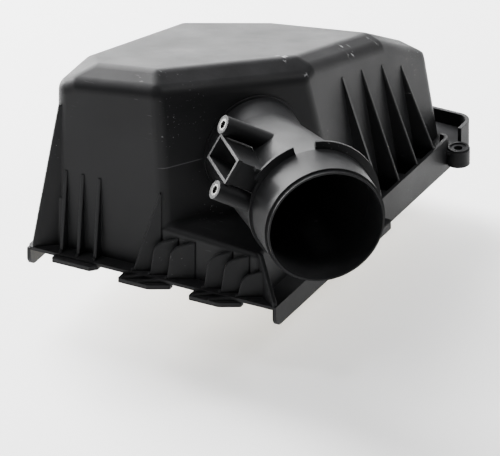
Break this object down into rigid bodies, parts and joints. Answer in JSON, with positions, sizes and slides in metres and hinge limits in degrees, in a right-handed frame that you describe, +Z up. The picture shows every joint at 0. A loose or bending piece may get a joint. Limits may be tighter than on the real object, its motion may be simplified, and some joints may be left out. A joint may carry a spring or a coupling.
{
  "type": "air filter housing",
  "caption": "Upper cover of an engine air filter box, with an angled outlet duct, a sensor port, hook tabs, screw ears and a lift-out panel filter.",
  "frame": {"origin": "centre of the flange underside, the plane where the cover meets the lower case", "axes": "+Z up out of the case joint, +X towards the side the outlet duct leans to, -Y towards the hook tabs, +Y towards the screw ears"},
  "size_m": [0.2561, 0.3076, 0.1435],
  "materials": {
    "housing_plastic": "fine moulded grain, matte",
    "insert_steel": "dull, turned",
    "insert_plastic": "smooth, matte",
    "screen_wire": "woven wire",
    "filter_paper": "resin-treated paper",
    "seal_foam": "moulded polyurethane, matte",
    "glue": "hot-melt, slightly glossy"
  },
  "bodies": {
    "cover": {"cover_shell": "housing_plastic", "outlet_duct": "housing_plastic", "sensor_boss_inserts": "insert_steel", "flow_straightener": "insert_plastic", "straightener_screen": "screen_wire", "screen_ring": "insert_plastic"},
    "filter_element": {"filter_media": "filter_paper", "filter_seal_frame": "seal_foam", "filter_glue_beads": "glue"}
  },
  "joints": [
    {"name": "filter_lift_out", "type": "slide", "parent": "cover", "child": "filter_element", "axis": [0, 0, -1], "range_m": [0, 0.042]}
  ]
}
